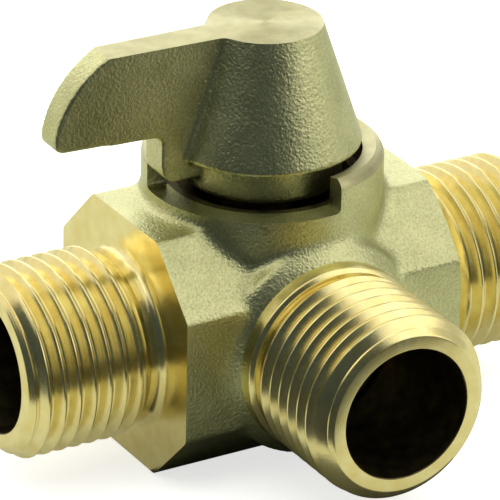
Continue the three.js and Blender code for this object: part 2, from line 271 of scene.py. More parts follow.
def as_mesh(bm, finish=FORGED):
    """Closes a bmesh into a mesh whose faces point outwards and all have one finish."""
    bmesh.ops.remove_doubles(bm, verts=bm.verts, dist=1e-7)
    bmesh.ops.dissolve_degenerate(bm, edges=bm.edges, dist=1e-8)
    bmesh.ops.recalc_face_normals(bm, faces=bm.faces)
    for face in bm.faces:
        face.material_index = finish
        face.smooth = True
    mesh = bpy.data.meshes.new("shape")
    for name in BRASS:
        mesh.materials.append(bpy.data.materials.get(name) or bpy.data.materials.new(name))
    bm.to_mesh(mesh)
    bm.free()
    return mesh


def wire(profile):
    """A bmesh that holds an outline of (radius, height) points as a chain of edges."""
    bm = bmesh.new()
    points = [bm.verts.new((radius, 0, height)) for radius, height in profile]
    for first, second in zip(points, points[1:]):
        bm.edges.new((first, second))
    return bm


def aim(bm, direction):
    """Turns what was made round Z to lie along a direction."""
    bmesh.ops.rotate(bm, verts=bm.verts, matrix=ALONG_Z.rotation_difference(direction).to_matrix())


def lathe(profile, direction=ALONG_Z, finish=FORGED, steps=96):
    """Spins an outline of (radius, height) points about a direction through the ball centre."""
    bm = wire(profile)
    bmesh.ops.spin(bm, geom=bm.verts[:] + bm.edges[:], cent=(0, 0, 0), axis=ALONG_Z,
                   angle=FULL_TURN, steps=steps, use_merge=True)
    aim(bm, direction)
    return as_mesh(bm, finish)


def rod(radius, low, high, direction=ALONG_Z, finish=FORGED, steps=96):
    """A plain round bar along a direction."""
    return lathe([(0, low), (radius, low), (radius, high), (0, high)], direction, finish, steps)


def hoop(radius, section, height, direction=ALONG_Z, steps=72):
    """A ring of round section."""
    return lathe(arc((radius, height), section, 0, 360, 16), direction, FORGED, steps)


def block(low, high, finish=FORGED, rounding=0.0):
    """A box between two corners, with rounded edges."""
    bm = bmesh.new()
    bmesh.ops.create_cube(bm, size=1)
    size = Vector(high) - Vector(low)
    bmesh.ops.scale(bm, vec=size, verts=bm.verts)
    bmesh.ops.translate(bm, vec=(Vector(high) + Vector(low)) / 2, verts=bm.verts)
    if rounding:
        bmesh.ops.bevel(bm, geom=bm.edges[:], offset=rounding, affect="EDGES", segments=4,
                        profile=0.5, material=-1)
    return as_mesh(bm, finish)


def plate(outline, thickness):
    """A flat plate with an outline of (x, z) points, centred on the plane of the run."""
    bm = bmesh.new()
    face = bm.faces.new([bm.verts.new((x, -thickness / 2, z)) for x, z in outline])
    grown = bmesh.ops.extrude_face_region(bm, geom=[face])["geom"]
    far_side = [part for part in grown if isinstance(part, bmesh.types.BMVert)]
    bmesh.ops.translate(bm, vec=(0, thickness, 0), verts=far_side)
    return as_mesh(bm)


def worked(mesh, kind, **settings):
    """The mesh that a modifier makes of a mesh."""
    holder = bpy.data.objects.new("holder", mesh)
    bpy.context.scene.collection.objects.link(holder)
    modifier = holder.modifiers.new("work", kind)
    for name, value in settings.items():
        setattr(modifier, name, value)
    evaluated = holder.evaluated_get(bpy.context.evaluated_depsgraph_get())
    result = bpy.data.meshes.new_from_object(evaluated)
    bpy.data.objects.remove(holder)
    bpy.data.meshes.remove(mesh)
    return result


def combine(mesh, other, operation):
    """Joins, cuts or intersects two closed meshes. Each face keeps its finish."""
    tool = bpy.data.objects.new("tool", other)
    bpy.context.scene.collection.objects.link(tool)
    result = worked(mesh, "BOOLEAN", operation=operation, solver="MANIFOLD", object=tool)
    bpy.data.objects.remove(tool)
    bpy.data.meshes.remove(other)
    if not result.polygons:
        raise RuntimeError(f"{operation.lower()} left nothing")
    return result


def joined(mesh, *others):
    """Adds closed meshes to a mesh."""
    for other in others:
        mesh = combine(mesh, other, "UNION")
    return mesh


def cut(mesh, *tools):
    """Takes closed meshes away from a mesh."""
    for tool in tools:
        mesh = combine(mesh, tool, "DIFFERENCE")
    return mesh


def hollows(bm, depth):
    """The points that lie in a fold of the surface, deeper than a depth."""
    found = []
    for vert in bm.verts:
        neighbours = [edge.other_vert(vert).co for edge in vert.link_edges]
        middle = sum(neighbours, Vector()) / len(neighbours)
        if (middle - vert.co).dot(vert.normal) > depth:
            found.append(vert)
    return found


def forged(mesh, voxel, fillet_passes, edge_passes):
    """Melts joined shapes into one forging, with fillets in its folds and soft edges."""
    every_way = {"use_axis_x": True, "use_axis_y": True, "use_axis_z": True}
    fold_depth = voxel * 0.012
    mesh = worked(mesh, "REMESH", mode="VOXEL", voxel_size=voxel, adaptivity=0.0,
                  use_smooth_shade=True)
    bm = bmesh.new()
    bm.from_mesh(mesh)
    for _ in range(fillet_passes):
        bm.normal_update()
        bmesh.ops.smooth_vert(bm, verts=hollows(bm, fold_depth), factor=0.6, **every_way)
    for _ in range(edge_passes):
        bmesh.ops.smooth_vert(bm, verts=bm.verts, factor=0.5, **every_way)
    bpy.data.meshes.remove(mesh)
    return as_mesh(bm)


def lift(mesh, angle=0.0):
    """Turns a mesh about the stem axis and raises it to the height of the ports."""
    mesh.transform(Matrix.Translation((0, 0, AXIS_HEIGHT)) @ Matrix.Rotation(angle, 4, "Z"))
    return mesh


def piece(name, mesh, body, nodes, material=None):
    """A finished piece that rides on a body and stands for CAD nodes. It is brass, with
    the finishes that its faces were cut with, unless it has a material of its own."""
    mesh.name = name
    if material:
        mesh.materials.clear()
        mesh.materials.append(material)
    mesh.set_sharp_from_angle(angle=SHARP_EDGE)
    obj = bpy.data.objects.new(name, mesh)
    bpy.context.scene.collection.objects.link(obj)
    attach(obj, body)
    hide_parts(*nodes)


# --- materials

def linear(hex_colour):
    """The linear colour of an sRGB hex value."""
    channels = [int(hex_colour[i:i + 2], 16) / 255 for i in (1, 3, 5)]
    return [c / 12.92 if c <= 0.04045 else ((c + 0.055) / 1.055) ** 2.4 for c in channels] + [1.0]


def add(tree, kind, options=None, values=None, links=None):
    """Adds a shader node with its options, its socket values and what is linked to it."""
    node = tree.nodes.new("ShaderNode" + kind)
    for name, value in (options or {}).items():
        setattr(node, name, value)
    for name, value in (values or {}).items():
        node.inputs[name].default_value = value
    for name, source in (links or {}).items():
        tree.links.new(source, node.inputs[name])
    return node


def new_material(name):
    """An empty material and its node tree, ready for a surface."""
    material = bpy.data.materials.get(name) or bpy.data.materials.new(name)
    material.use_nodes = True
    material.node_tree.nodes.clear()
    return material, material.node_tree


def in_millimetres(tree):
    """Object coordinates in millimetres, about the centre of the ball."""
    place = add(tree, "TexCoord").outputs["Object"]
    return add(tree, "Mapping", values={"Scale": (1 / MM,) * 3, "Location": (0, 0, -AXIS_HEIGHT / MM)},
               links={"Vector": place}).outputs["Vector"]


def ramp(tree, source, low, high, dark, light):
    """A colour that runs from dark to light as a source runs from low to high."""
    node = add(tree, "ValToRGB", links={"Fac": source})
    first, last = node.color_ramp.elements
    first.position, first.color = low, linear(dark)
    last.position, last.color = high, linear(light)
    return node.outputs["Color"]


def between(tree, source, low, high):
    """A number that runs from low to high with a source."""
    node = add(tree, "MapRange", values={"To Min": low, "To Max": high}, links={"Value": source})
    return node.outputs["Result"]


def bump(tree, height, depth, normal=None):
    """Relief of a real depth in millimetres, over another one if it is given."""
    values = {"Strength": 1.0, "Distance": depth * MM}
    links = {"Height": height}
    if normal:
        links["Normal"] = normal
    return add(tree, "Bump", values=values, links=links).outputs["Normal"]


def finish_surface(tree, values, links):
    """The surface shader and the output of a material."""
    shader = add(tree, "BsdfPrincipled", values=values, links=links)
    add(tree, "OutputMaterial", links={"Surface": shader.outputs["BSDF"]})


def noise(tree, place, width, detail=2.0, distortion=0.0):
    """Noise whose patches are about as wide as a width in millimetres."""
    values = {"Scale": 1 / width, "Detail": detail, "Distortion": distortion}
    return add(tree, "TexNoise", values=values, links={"Vector": place}).outputs["Fac"]


def forged_brass(finishes):
    """Hot forged and shot-blasted brass: a satin, olive-gold skin of fine pits that
    sparkles grain by grain where it faces a light."""
    tree = new_material("forged_brass")[1]
    place = in_millimetres(tree)
    grain_width = finishes.grain / MM
    grain = noise(tree, place, grain_width, 3.0)
    shot = add(tree, "TexVoronoi", {"feature": "SMOOTH_F1"},
               {"Scale": 0.6 / grain_width, "Smoothness": 0.6}, {"Vector": place}).outputs["Distance"]
    patches = noise(tree, place, 4.5, 3.0)
    relief = bump(tree, grain, 0.06, bump(tree, shot, 0.04))
    # The tone follows the wide patches and the fine grain about equally. The patches vary the brass's own
    # tone. The grain also makes the relief, so its share is painted shade: dark in the pits and light on
    # the high points.
    wide = add(tree, "Math", {"operation": "MULTIPLY_ADD"}, {1: 0.45, 2: 0.0}, {0: patches})
    tone = add(tree, "Math", {"operation": "MULTIPLY_ADD"}, {1: 0.55}, {0: grain, 2: wide.outputs[0]})
    colours = ramp(tree, tone.outputs[0], 0.36, 0.64, finishes.forged_dark, finishes.forged_light)
    finish_surface(tree, {"Metallic": 1.0},
                   {"Base Color": colours, "Normal": relief,
                    "Roughness": between(tree, patches, 0.3, 0.44)})


def cut_brass(name, axis, finishes, dark, light, smoothest, roughest, spread):
    """Brass cut on a lathe: it draws highlights out across the fine rings left by
    the tool, both along a cylinder and over a flat face."""
    tree = new_material(name)[1]
    place = in_millimetres(tree)
    letter = "XYZ"[max(range(3), key=lambda i: abs(axis[i]))]
    # A wave texture repeats every pi / 10 of its scaled coordinate. The real tool
    # marks are finer than a render shows, so these are drawn wider.
    scale = pi / 10 / (finishes.feed / MM)
    values = {"Scale": scale, "Distortion": 0.6, "Detail": 2.0, "Detail Scale": 1.5}
    along, across = (
        add(tree, "TexWave", {"wave_type": kind, kind.lower() + "_direction": letter}, values,
            {"Vector": place}).outputs["Fac"] for kind in ("BANDS", "RINGS"))
    marks = add(tree, "Math", {"operation": "ADD"}, None, {0: along, 1: across}).outputs[0]
    patches = noise(tree, place, 2.2, 3.0)
    handling = noise(tree, place, 0.5, 3.0, 0.4)
    relief = bump(tree, handling, 0.003, bump(tree, marks, 0.0012))
    tangent = add(tree, "VectorMath", {"operation": "CROSS_PRODUCT"}, {0: axis}, {1: place})
    finish_surface(tree, {"Metallic": 1.0, "Anisotropic": spread, "Anisotropic Rotation": 0.25},
                   {"Base Color": ramp(tree, patches, 0.3, 0.7, dark, light), "Normal": relief,
                    "Tangent": tangent.outputs[0],
                    "Roughness": between(tree, handling, smoothest, roughest)})


def drilled_brass_painted_shade(finishes):
    """Bores drilled and left as they are: dull brass, painted dark as the shade inside the bores, which
    lets little light out again."""
    tree = new_material("drilled_brass_painted_shade")[1]
    place = in_millimetres(tree)
    blotches = noise(tree, place, 1.6, 3.0)
    # The bore colours are painted shade, mottled at random.
    colours = ramp(tree, blotches, 0.3, 0.7, finishes.drilled_shade_dark, finishes.drilled_shade_light)
    finish_surface(tree, {"Metallic": 1.0},
                   {"Base Color": colours, "Normal": bump(tree, noise(tree, place, 0.3), 0.012),
                    "Roughness": between(tree, blotches, 0.34, 0.5)})


def make_brass(scene):
    """Fills in the brass finishes."""
    finishes = scene.valve_finishes
    turned = (finishes.turned_dark, finishes.turned_light, 0.19, 0.28, 0.4)
    # Faced brass has its own roughness, and its colours are also darkened as painted shade to dim the
    # reflection on the tops.
    faced = (finishes.faced_dark, finishes.faced_light, 0.36, 0.46, 0.85)
    forged_brass(finishes)
    cut_brass("turned_brass_x", ALONG_X, finishes, *turned)
    cut_brass("turned_brass_y", ALONG_Y, finishes, *turned)
    cut_brass("faced_brass_z", ALONG_Z, finishes, *faced)
    drilled_brass_painted_shade(finishes)


def chromed_brass():
    """Hard chrome plated on a ground and polished ball: a near mirror with a cool
    tint and hair-fine polishing haze."""
    material, tree = new_material("chromed_brass")
    place = in_millimetres(tree)
    haze = noise(tree, place, 1.4, 4.0)
    finish_surface(tree, {"Metallic": 1.0},
                   {"Base Color": ramp(tree, haze, 0.3, 0.7, "#D3D6DA", "#E6E8EA"),
                    "Normal": bump(tree, noise(tree, place, 0.3, 2.0), 0.001),
                    "Roughness": between(tree, haze, 0.05, 0.12)})
    return material


def ptfe():
    """Machined PTFE: a waxy white with a soft sheen and light showing through its edges."""
    material, tree = new_material("ptfe")
    place = in_millimetres(tree)
    mottle = noise(tree, place, 1.0, 3.0)
    finish_surface(tree, {"IOR": 1.35, "Subsurface Weight": 0.25, "Subsurface Scale": 0.6 * MM},
                   {"Base Color": ramp(tree, mottle, 0.3, 0.7, "#E9E8E2", "#F6F5F1"),
                    "Normal": bump(tree, noise(tree, place, 0.25, 2.0), 0.006),
                    "Roughness": between(tree, mottle, 0.38, 0.5)})
    return material


def nitrile_rubber():
    """Moulded nitrile rubber: matt black with a faint bloom from handling."""
    material, tree = new_material("nitrile_rubber")
    place = in_millimetres(tree)
    bloom = noise(tree, place, 0.9, 4.0)
    finish_surface(tree, {"IOR": 1.52},
                   {"Base Color": ramp(tree, bloom, 0.35, 0.75, "#141416", "#26262A"),
                    "Normal": bump(tree, noise(tree, place, 0.15, 2.0), 0.008),
                    "Roughness": between(tree, bloom, 0.5, 0.72)})
    return material


def black_steel():
    """Alloy steel, hardened and blackened in oil: dark, with a low oily sheen."""
    material, tree = new_material("black_steel")
    place = in_millimetres(tree)
    bloom = noise(tree, place, 0.7, 4.0)
    finish_surface(tree, {"Metallic": 1.0},
                   {"Base Color": ramp(tree, bloom, 0.3, 0.7, "#242426", "#3C3C40"),
                    "Normal": bump(tree, noise(tree, place, 0.12, 2.0), 0.005),
                    "Roughness": between(tree, bloom, 0.3, 0.46)})
    return material


# --- the pieces

def screw_thread(sizes, start, end, direction, finish):
    """A solid bar with a right-handed rounded 55 degree thread along it."""
    half_bend = 90 - 55 / 2
    round_off = sizes.rounding
    valley_centre = sizes.radius - sizes.depth + round_off
    crest_centre = sizes.radius - round_off
    # Two turns to spare at each end, for the envelope to cut off.
    first = int(start / sizes.pitch) - 2
    last = int(end / sizes.pitch) + 2
    profile = [(0, first * sizes.pitch)]
    for winding in range(first, last):
        middle = winding * sizes.pitch
        profile += arc((valley_centre, middle), -round_off, half_bend, -half_bend, 4)
        profile += arc((crest_centre, middle + sizes.pitch / 2), round_off, -half_bend, half_bend, 4)
    profile.append((0, last * sizes.pitch))
    bm = wire(profile)
    rise = ALONG_Z * sizes.pitch / sizes.steps
    bmesh.ops.spin(bm, geom=bm.verts[:] + bm.edges[:], cent=(0, 0, 0), axis=ALONG_Z, dvec=rise,
                   angle=FULL_TURN, steps=sizes.steps)
    bmesh.ops.remove_doubles(bm, verts=bm.verts, dist=1e-6)
    bmesh.ops.holes_fill(bm, edges=bm.edges, sides=0)
    aim(bm, direction)
    return as_mesh(bm, finish)


def threaded_end(sizes, start, end, direction, finish):
    """The threaded stretch of a port, run out at its root and chamfered at its end."""
    outer = sizes.radius + 0.02 * MM
    inner = sizes.neck_radius - 0.1 * MM
    overlap = 1.0 * MM
    run_out = 1.9 * MM
    envelope = eased([
        (0, start - overlap), (inner, start - overlap), (inner, start), (outer, start + run_out),
        (outer, end - sizes.chamfer), (outer - sizes.chamfer, end), (0, end),
    ], 0.18 * MM)
    limits = lathe(envelope, direction, finish, sizes.steps)
    return combine(screw_thread(sizes, start, end, direction, finish), limits, "INTERSECT")


def run_port(body, sizes, face, direction):
    """A run port: its neck, flared where it leaves the flange, and its thread."""
    inside = body.bore_radius + 1 * MM
    neck = sizes.neck_radius
    wide = neck + sizes.neck_flare
    neck_end = face + sizes.neck_length
    core_end = neck_end + 1.2 * MM
    flare = arc((wide, face + sizes.neck_flare), sizes.neck_flare, 270, 180, 8)
    core = lathe([(0, inside), (wide, inside)] + flare + [(neck, core_end), (0, core_end)],
                 direction, TURNED_X, sizes.steps)
    thread = threaded_end(sizes, neck_end + 0.1 * MM, sizes.run_end, direction, TURNED_X)
    return joined(core, thread)


def branch_port(body, sizes):
    """The branch port: a smooth band and its thread."""
    front = -ALONG_Y
    inside = body.bore_radius + 1 * MM
    edge = 0.15 * MM
    core_end = body.band_end + 0.2 * MM
    core = lathe(eased([
        (0, inside), (body.band_radius, inside), (body.band_radius, body.band_end - edge),
        (body.band_radius - 0.5 * MM, core_end), (0, core_end),
    ], edge), front, TURNED_Y, sizes.steps)
    return joined(core, threaded_end(sizes, body.band_end, sizes.branch_end, front, TURNED_Y))


def octagonal_bar(sizes):
    """The forged bar along the run, left long for facing."""
    half = sizes.across_flats / 2
    reach = sizes.right_face + 2 * MM
    bm = bmesh.new()
    bmesh.ops.create_cube(bm, size=2)
    bmesh.ops.scale(bm, vec=(reach, half, half), verts=bm.verts)
    long_edges = [e for e in bm.edges if abs(e.verts[0].co.x - e.verts[1].co.x) > reach]
    bmesh.ops.bevel(bm, geom=long_edges, offset=half - sizes.flat_width / 2, affect="EDGES",
                    segments=1, profile=0.5, material=-1)
    return as_mesh(bm)


def body_forging(sizes):
    """The bar, collar and branch boss forged as one."""
    draft = 1.4 * MM
    collar = rod(sizes.collar_radius, 0, sizes.collar_top + 1 * MM)
    boss = lathe([
        (0, 0), (sizes.boss_radius, 0), (sizes.boss_radius, sizes.boss_end - draft),
        (sizes.band_radius, sizes.boss_end), (0, sizes.boss_end),
    ], -ALONG_Y)
    blank = joined(octagonal_bar(sizes), collar, boss)
    return forged(blank, 0.36 * MM, fillet_passes=14, edge_passes=2)


def faced_envelope(sizes):
    """What facing leaves of the bar: a flat left end and a right end with a falling rim."""
    far = 24 * MM
    fall = 1.15 * MM
    return lathe(eased([
        (0, -sizes.left_face), (far, -sizes.left_face), (far, sizes.right_face - 3 * fall),
        (sizes.rim_radius, sizes.right_face), (0, sizes.right_face),
    ], 0.4 * MM, keep=(1,)), ALONG_X, TURNED_X, 128)


def collar_rim(sizes):
    """What turning removes from the top of the collar, down to its rounded rim."""
    above = sizes.collar_top + 5 * MM
    outside = sizes.collar_radius + 0.2 * MM
    clear = outside + 3 * MM
    rounding = 1.05 * MM
    dish = sizes.collar_top - 0.35 * MM
    edge = sizes.collar_top - rounding
    shoulder = edge - 0.2 * MM
    rim = arc((sizes.collar_radius - rounding, edge - 0.05 * MM), rounding, 0, 70, 6)
    inner_edge = rim[-1][0] - 0.2 * MM
    profile = [(0, above), (clear, above), (clear, shoulder), (outside, shoulder)] + rim
    profile += [(inner_edge, sizes.collar_top), (sizes.pocket_radius, dish), (0, dish)]
    return lathe(profile, ALONG_Z, FACED_Z, 128)


def collar_pocket(sizes, stem):
    """The pocket in the collar, with the hub's well and the boss round the stem."""
    return lathe(eased([
        (0, sizes.collar_top), (sizes.pocket_radius, sizes.collar_top),
        (sizes.pocket_radius, sizes.ledge), (sizes.well_radius, sizes.ledge),
        (sizes.well_radius, sizes.pocket_floor), (stem.boss_radius, sizes.pocket_floor),
        (stem.boss_radius, stem.boss_top), (0, stem.boss_top),
    ], 0.15 * MM), ALONG_Z, DRILLED, 128)


def stop_slot(sizes):
    """The milled quarter of the collar that the stop tab swings through."""
    reach = sizes.collar_radius + 3 * MM
    low = (-reach, -reach, sizes.ledge)
    high = (sizes.stop_turned, sizes.stop_at_rest, sizes.collar_top + 3 * MM)
    return block(low, high, FORGED, 0.5 * MM)


def stem_passage(stem):
    """The hole for the stem, wider below for its flange and washer."""
    through = stem.boss_top + 1 * MM
    return lathe([
        (0, 0), (stem.counterbore, 0), (stem.counterbore, stem.counterbore_top),
        (stem.passage, stem.counterbore_top), (stem.passage, through), (0, through),
    ], ALONG_Z, FACED_Z)


def bore_tool(radius, low, high, direction):
    """A bore whose mouth at the high end has a small chamfer."""
    chamfer = 0.1 * MM
    return lathe([
        (0, low), (radius, low), (radius, high - chamfer),
        (radius + chamfer * 4, high + chamfer * 3), (0, high + chamfer * 3),
    ], direction, DRILLED, 112)


def make_body(scene):
    """Forges, turns and bores the body."""
    sizes, threads, stem = scene.valve_body, scene.valve_threads, scene.valve_stem
    bore, overlap = sizes.bore_radius, -1 * MM
    mesh = combine(body_forging(sizes), faced_envelope(sizes), "INTERSECT")
    mesh = cut(mesh, collar_rim(sizes), collar_pocket(sizes, stem), stop_slot(sizes),
               stem_passage(stem))
    mesh = joined(mesh, run_port(sizes, threads, sizes.left_face, -ALONG_X),
                  run_port(sizes, threads, sizes.right_face, ALONG_X), branch_port(sizes, threads))
    mesh = cut(mesh, bore_tool(bore, overlap, threads.run_end, -ALONG_X),
               bore_tool(bore, overlap, threads.run_end, ALONG_X),
               bore_tool(bore, -sizes.rear_pocket, threads.branch_end, -ALONG_Y))
    piece("body_forging", lift(mesh), "body", ["valve_body"])


def curve(controls, steps):
    """Points along a curve with four control points, given as (x, z) in millimetres."""
    return [tuple(point) for point in interpolate_bezier(*(Vector(c) * MM for c in controls), steps)]


def wing_outline(sizes):
    """The wing seen from the side: flat on top and round at its tip, with the stop tab under it."""
    inside = -3 * MM
    corner = 1.9 * MM
    nose = curve(WING_NOSE, 16)
    heel = curve(WING_HEEL, 6)
    tab = arc((-sizes.tab_outer + corner, sizes.tab_bottom + corner), corner, 180, 270, 6)
    fillet = [(-sizes.tab_outer - 0.5 * MM, 22.8 * MM), (-sizes.tab_outer, 22.2 * MM)]
    return ([(inside, sizes.top + 1 * MM)] + nose + heel[1:] + fillet + tab
            + [(inside, sizes.tab_bottom)])


def handle_wing(sizes):
    """The wing, which thins towards its tip."""
    mesh = plate(wing_outline(sizes), 1.0)
    for vert in mesh.vertices:
        share = min(1.0, -vert.co.x / (sizes.wing_tip + 1 * MM))
        vert.co.y *= sizes.wing_root + (sizes.wing_end - sizes.wing_root) * share
    return mesh


def handle_casting(sizes):
    """The cone, hub and wing cast as one."""
    slope = (sizes.cone_radius - sizes.top_radius) / (sizes.top - sizes.cone_base)
    extra = 1 * MM  # left for facing
    cast_top = sizes.top + extra
    cone = lathe(eased([
        (0, sizes.hub_bottom), (sizes.hub_radius, sizes.hub_bottom),
        (sizes.hub_radius, sizes.cone_base), (sizes.cone_radius, sizes.cone_base),
        (sizes.top_radius - slope * extra, cast_top), (0, cast_top),
    ], 0.5 * MM))
    blank = joined(cone, handle_wing(sizes))
    return forged(blank, 0.2 * MM, fillet_passes=16, edge_passes=3)


def screw_direction(stem):
    """The way out along the set screw."""
    return Vector((cos(stem.screw_azimuth), sin(stem.screw_azimuth), 0))


def at_screw_height(mesh, stem):
    """Raises what was made round the ball centre to the set screw."""
    mesh.transform(Matrix.Translation((0, 0, stem.screw_height)))
    return mesh


def make_handle(scene):
    """Casts the handle, faces its top and drills it."""
    sizes, stem = scene.valve_handle, scene.valve_stem
    clearance, past = 0.1 * MM, 1 * MM
    facing = rod(40 * MM, sizes.top, sizes.top + 5 * MM, ALONG_Z, FACED_Z)
    stem_hole = rod(stem.radius + clearance, sizes.hub_bottom - past, stem.top + 0.4 * MM,
                    ALONG_Z, FACED_Z)
    screw_hole = rod(stem.screw_radius + clearance, stem.radius - 1.5 * MM,
                     sizes.cone_radius + past, screw_direction(stem), FACED_Z)
    mesh = cut(handle_casting(sizes), facing, stem_hole, at_screw_height(screw_hole, stem))
    piece("lever_handle", lift(mesh, sizes.skew), "handle", ["handle"])


def make_set_screw(scene):
    """Makes the set screw, with a hexagon socket in its outer end."""
    stem = scene.valve_stem
    inner, outer = stem.screw_inner, stem.screw_inner + stem.screw_length
    direction = screw_direction(stem)
    shank = lathe(eased([
        (0, inner), (stem.screw_radius * 0.75, inner), (stem.screw_radius, inner + 0.5 * MM),
        (stem.screw_radius, outer), (0, outer),
    ], 0.2 * MM), direction, steps=48)
    socket = rod(stem.hex_radius, outer - 2 * MM, outer + 1 * MM, direction, steps=6)
    mesh = lift(at_screw_height(cut(shank, socket), stem), scene.valve_handle.skew)
    piece("handle_grub_screw", mesh, "handle", ["handle_set_screw"], black_steel())


def make_stem(scene):
    """Turns the stem, mills its tang and files a flat for the set screw."""
    stem, inner = scene.valve_stem, scene.valve_inner
    foot = stem.flange_bottom
    half = stem.ring_section + 0.1 * MM
    floor = stem.radius - stem.groove_depth
    profile = [(0, foot), (stem.flange_radius, foot), (stem.flange_radius, stem.flange_top),
               (stem.radius, stem.flange_top)]
    for groove in (stem.lower_groove, stem.upper_groove):
        profile += [(stem.radius, groove - half), (floor, groove - half), (floor, groove + half),
                    (stem.radius, groove + half)]
    profile += [(stem.radius, stem.top), (0, stem.top)]
    mesh = lathe(eased(profile, 0.12 * MM), ALONG_Z, FACED_Z, 72)
    tang_reach = 4.3 * MM
    tang = block((-tang_reach, -stem.tang / 2, inner.slot_floor + 0.3 * MM),
                 (tang_reach, stem.tang / 2, foot + 0.5 * MM), FACED_Z, 0.15 * MM)
    flat = block((stem.flat, -6 * MM, stem.screw_height - 3 * MM),
                 (8 * MM, 6 * MM, stem.top + 1 * MM), FACED_Z)
    flat.transform(Matrix.Rotation(stem.screw_azimuth + scene.valve_handle.skew, 4, "Z"))
    mesh = cut(joined(mesh, tang), flat)
    piece("valve_stem", lift(mesh), "handle", ["stem"])


def make_stem_seals(scene):
    """Makes the thrust washer and the O-rings of the stem."""
    stem = scene.valve_stem
    hole = stem.radius + 0.1 * MM
    bottom = stem.flange_top + 0.15 * MM
    top = bottom + stem.washer
    washer = lathe(eased([
        (hole, bottom), (stem.flange_radius, bottom), (stem.flange_radius, top), (hole, top),
        (hole, bottom),
    ], 0.1 * MM), steps=72)
    piece("stem_washer", lift(washer), "handle", ["stem_thrust_washer"], ptfe())
    middle = stem.radius - stem.groove_depth + stem.ring_section + 0.05 * MM
    section = stem.ring_section * 0.9
    for place, groove in (("lower", stem.lower_groove), ("upper", stem.upper_groove)):
        piece(f"stem_seal_{place}", lift(hoop(middle, section, groove)), "handle",
              [f"stem_o_ring_{place}"], nitrile_rubber())


def make_ball(scene):
    """Turns the ball, drills the two arms of its L bore and mills the slot on top."""
    inner = scene.valve_inner
    bm = bmesh.new()
    bmesh.ops.create_uvsphere(bm, u_segments=96, v_segments=64, radius=inner.ball_radius)
    mesh = as_mesh(bm)
    past = inner.ball_radius + 1 * MM
    half_slot = inner.slot_width / 2
    bores = [rod(inner.ball_bore, -inner.ball_bore * 0.6, past, direction)
             for direction in (-ALONG_X, -ALONG_Y)]
    slot = block((-past, -half_slot, inner.slot_floor), (past, half_slot, past), FORGED, 0.1 * MM)
    piece("l_bored_ball", lift(cut(mesh, *bores, slot)), "handle", ["ball"],
          chromed_brass())


def seat_ring(inner, direction):
    """A seat: hollow face to the ball, and a mitred edge that clears its neighbours."""
    clear = inner.ball_radius + inner.seat_gap
    lip = 4.95 * MM
    mitre = 0.2 * MM
    start, end = (degrees(atan2((clear ** 2 - radius ** 2) ** 0.5, radius))
                  for radius in (inner.seat_bore, lip))
    hollow = arc((0, 0), clear, start, end, 8)
    return lathe([(inner.seat_bore, inner.seat_back)] + hollow + [
        (inner.seat_outer, inner.seat_outer + mitre), (inner.seat_outer, inner.seat_back),
        (inner.seat_bore, inner.seat_back),
    ], direction)


def make_seats(scene):
    """Makes the four seats round the ball."""
    for place, direction in {**PORTS, "rear": ALONG_Y}.items():
        mesh = lift(seat_ring(scene.valve_inner, direction))
        piece(f"ball_seat_{place}", mesh, "body", [f"seat_{place}"], ptfe())


def make_backing_rings(scene):
    """Makes the rings that press the seats on to the ball."""
    inner = scene.valve_inner
    section = inner.ring_section * 0.86
    for place, direction in PORTS.items():
        mesh = lift(hoop(inner.ring_radius, section, inner.ring_at, direction))
        piece(f"backing_ring_{place}", mesh, "body", [f"seat_backing_ring_{place}"],
              nitrile_rubber())


def retainer_slot(inner, direction, across, finish):
    """The slot that a driver turns a retainer by."""
    half = inner.driver_slot / 2
    reach = Vector([half, half, half]) + across * 9 * MM
    for i in range(3):
        if direction[i]:
            reach[i] = inner.driver_depth
    middle = direction * inner.retainer_back
    return block(middle - reach, middle + reach, finish, 0.1 * MM)


def make_retainers(scene):
    """Makes the screwed rings that hold the seats in the ports."""
    inner = scene.valve_inner
    bore, outer = inner.retainer_bore, inner.seat_outer
    front, back = inner.retainer_front, inner.retainer_back
    for place, direction in PORTS.items():
        finish = TURNED_Y if place == "front" else TURNED_X
        outline = [(bore, front), (outer, front), (outer, back), (bore, back), (bore, front)]
        ring = lathe(eased(outline, 0.2 * MM), direction, finish)
        mesh = cut(ring, retainer_slot(inner, direction, SLOT_ACROSS[place], finish))
        piece(f"threaded_retainer_{place}", lift(mesh), "body", [f"seat_retainer_{place}"])


# --- the stage

def floor_material(name, hex_colour, glow):
    """Matt painted board, lit a little from beneath so that its shadows stay soft."""
    material, tree = new_material(name)
    shade = linear(hex_colour)
    finish_surface(tree, {"Base Color": shade, "Roughness": 0.9, "Specular IOR Level": 0.0,
                          "Emission Color": shade, "Emission Strength": glow}, {})
    return material


def floor_sheet(name, hex_colour, glow, low, high, height, heading=0.0):
    """A level sheet between two corners, turned on the floor by its heading."""
    bm = bmesh.new()
    bmesh.ops.create_grid(bm, x_segments=1, y_segments=1, size=0.5)
    bmesh.ops.scale(bm, vec=(high[0] - low[0], high[1] - low[1], 1), verts=bm.verts)
    middle = ((high[0] + low[0]) / 2, (high[1] + low[1]) / 2, height)
    bmesh.ops.translate(bm, vec=middle, verts=bm.verts)
    bmesh.ops.rotate(bm, cent=(0, 0, 0), matrix=Matrix.Rotation(-heading, 3, "Z"), verts=bm.verts)
    mesh = bpy.data.meshes.new(name)
    bm.to_mesh(mesh)
    bm.free()
    mesh.materials.append(floor_material(name, hex_colour, glow))
    sheet = bpy.data.objects.new(name, mesh)
    bpy.context.scene.collection.objects.link(sheet)
    return sheet


